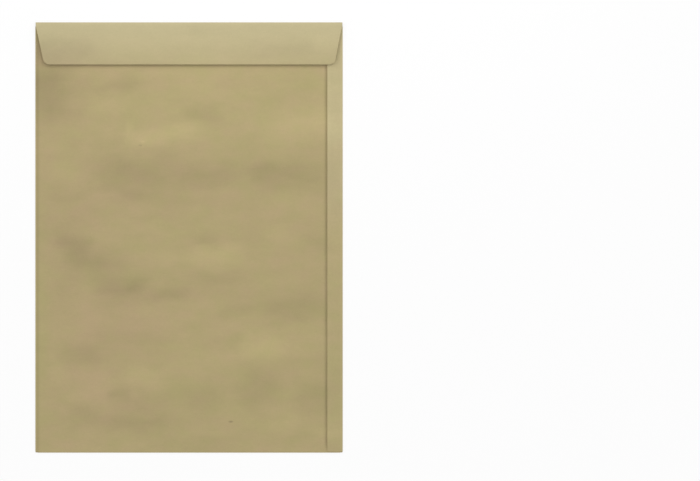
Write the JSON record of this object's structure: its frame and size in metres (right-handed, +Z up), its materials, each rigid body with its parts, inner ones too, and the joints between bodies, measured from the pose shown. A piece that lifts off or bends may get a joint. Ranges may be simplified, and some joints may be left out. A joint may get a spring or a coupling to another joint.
{
  "type": "paper envelope",
  "caption": "Flat rectangular pocket of folded brown paper, glued along one side and inside the bottom, with a shallow tapered flap folded over its mouth.",
  "frame": {"origin": "middle of the pocket's width and height, on the table surface under its plain face, where the envelope lies flat", "axes": "+Y runs along the pocket towards the flap's fold, +X across it towards the fold beside the glued seam, +Z up through the layers of paper"},
  "size_m": [0.2, 0.28, 0.0031],
  "materials": {
    "paper": "matte"
  },
  "bodies": {
    "root": {"envelope": "paper"}
  },
  "joints": []
}
